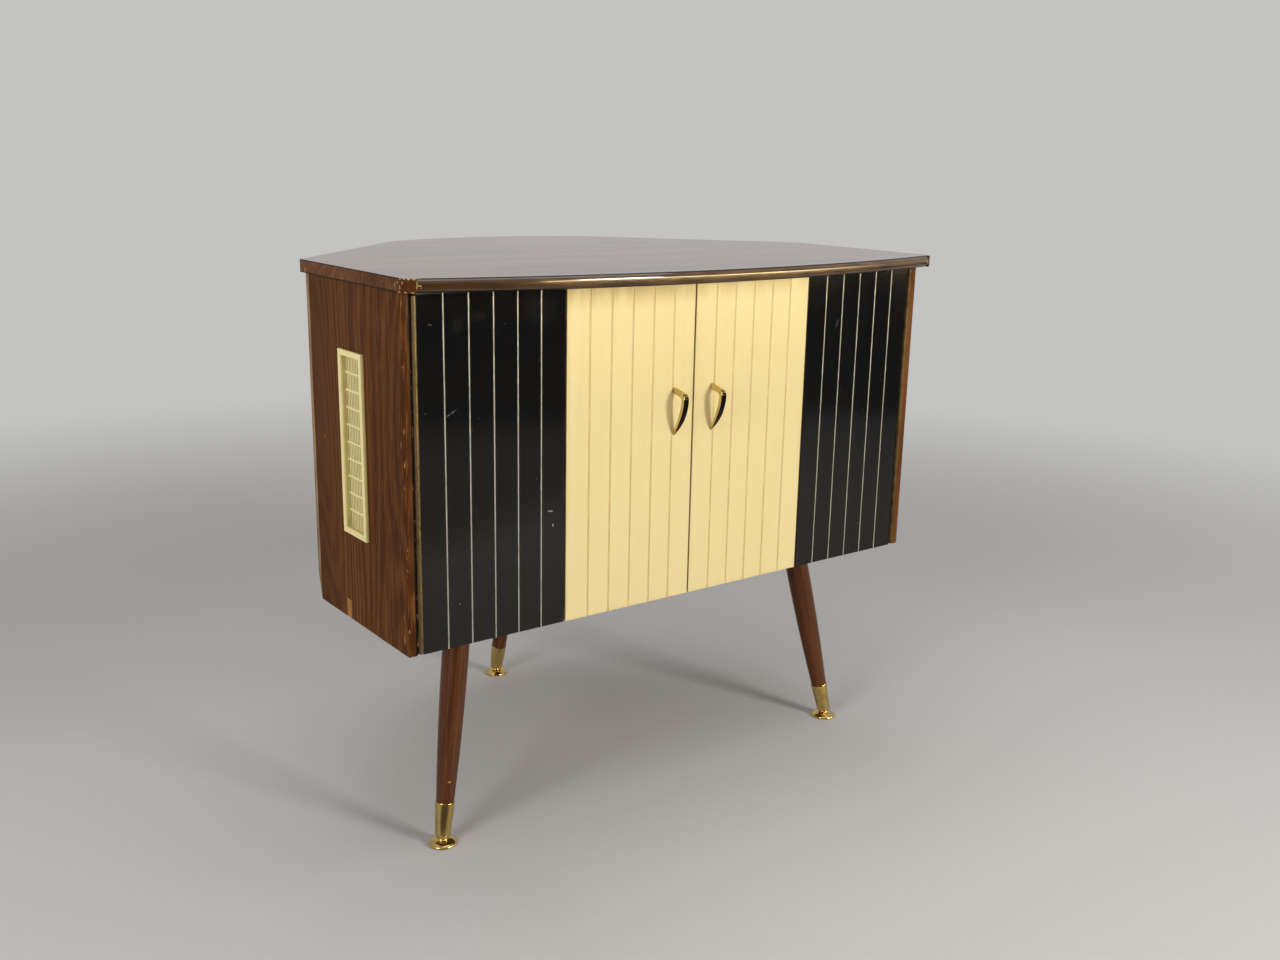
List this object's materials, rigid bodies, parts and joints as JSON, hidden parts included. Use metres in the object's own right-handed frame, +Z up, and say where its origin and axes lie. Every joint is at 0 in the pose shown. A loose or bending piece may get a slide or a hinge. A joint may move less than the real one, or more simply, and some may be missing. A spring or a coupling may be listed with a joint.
{
  "type": "corner tv cabinet",
  "caption": "Corner television cabinet on splayed brass-tipped legs, with a bow-fronted top and folding doors in black and cream with pinstripes.",
  "frame": {"origin": "on the floor, under the middle of the cabinet's bounding box", "axes": "+X along the front, to the right of someone facing the doors; +Y to the back; +Z up"},
  "size_m": [0.859, 0.6395, 0.748],
  "materials": {
    "walnut": "dark walnut veneer, glossy lacquer",
    "walnut_solid": "dark solid lipping, high gloss lacquer",
    "plywood": "stained plywood, matt",
    "leg_lacquer": "turned beech, reddish-brown gloss lacquer",
    "leaf_core": "stained blockboard",
    "black_gloss": "black laminate, high gloss",
    "cream_gloss": "cream laminate, gloss",
    "pale_gold": "pale gold inlay strip",
    "ochre": "ochre gold inlay strip",
    "brass": "polished, lightly tarnished",
    "ivory": "moulded ivory plastic, satin gloss",
    "steel": "zinc plated"
  },
  "bodies": {
    "carcass": {"top_board": "walnut", "side_panel_left": "walnut", "side_panel_right": "walnut", "front_top_rail": "walnut", "top_front_lipping": "walnut_solid", "bottom_panel": "plywood", "rear_wall_left": "plywood", "rear_wall_right": "plywood", "back_panel": "plywood", "corner_posts": "plywood", "leg_front_left": "leg_lacquer", "leg_front_right": "leg_lacquer", "leg_back": "leg_lacquer", "ferrule_front_left": "brass", "ferrule_front_right": "brass", "ferrule_back": "brass", "glide_front_left": "brass", "glide_front_right": "brass", "glide_back": "brass", "outer_hinge_pins": "brass", "outer_hinge_frame_screws": "brass", "vent_grille_left": "ivory", "vent_grille_right": "ivory", "leg_plates": "steel", "leg_bolts": "steel", "leg_plate_screws": "steel", "door_catches": "steel", "outer_hinge_frame_plate_left": "brass", "outer_hinge_frame_plate_right": "brass"},
    "outer_leaf_left": {"outer_leaf_board_left": "leaf_core", "outer_leaf_facing_left": "black_gloss", "outer_leaf_stripes_left": "pale_gold", "outer_hinge_leaf_plate_left": "brass", "fold_hinge_outer_plate_left": "brass", "fold_hinge_pin_left": "brass", "outer_leaf_screws_left": "brass"},
    "inner_leaf_left": {"inner_leaf_board_left": "leaf_core", "inner_leaf_facing_left": "cream_gloss", "inner_leaf_stripes_left": "ochre", "fold_hinge_inner_plate_left": "brass", "handle_left": "brass", "handle_screw_left": "steel", "catch_strike_left": "steel", "inner_leaf_screws_left": "brass"},
    "outer_leaf_right": {"outer_leaf_board_right": "leaf_core", "outer_leaf_facing_right": "black_gloss", "outer_leaf_stripes_right": "pale_gold", "outer_hinge_leaf_plate_right": "brass", "fold_hinge_outer_plate_right": "brass", "fold_hinge_pin_right": "brass", "outer_leaf_screws_right": "brass"},
    "inner_leaf_right": {"inner_leaf_board_right": "leaf_core", "inner_leaf_facing_right": "cream_gloss", "inner_leaf_stripes_right": "ochre", "fold_hinge_inner_plate_right": "brass", "handle_right": "brass", "handle_screw_right": "steel", "catch_strike_right": "steel", "inner_leaf_screws_right": "brass"}
  },
  "joints": [
    {"name": "outer_leaf_left_swing", "type": "hinge", "parent": "carcass", "child": "outer_leaf_left", "pos_m": [-0.4078, -0.23575, 0.5145], "axis": [0, 0, -1], "range_deg": [0, 175]},
    {"name": "inner_leaf_left_fold", "type": "hinge", "parent": "outer_leaf_left", "child": "inner_leaf_left", "pos_m": [-0.203, -0.21645, 0.5145], "axis": [0, 0, 1], "range_deg": [0, 175]},
    {"name": "outer_leaf_right_swing", "type": "hinge", "parent": "carcass", "child": "outer_leaf_right", "pos_m": [0.4078, -0.23575, 0.5145], "axis": [0, 0, 1], "range_deg": [0, 175]},
    {"name": "inner_leaf_right_fold", "type": "hinge", "parent": "outer_leaf_right", "child": "inner_leaf_right", "pos_m": [0.203, -0.21645, 0.5145], "axis": [0, 0, -1], "range_deg": [0, 175]}
  ],
  "couplings": [
    {"joint": "inner_leaf_left_fold", "follows": "outer_leaf_left_swing", "ratio": 1},
    {"joint": "inner_leaf_right_fold", "follows": "outer_leaf_right_swing", "ratio": 1}
  ]
}
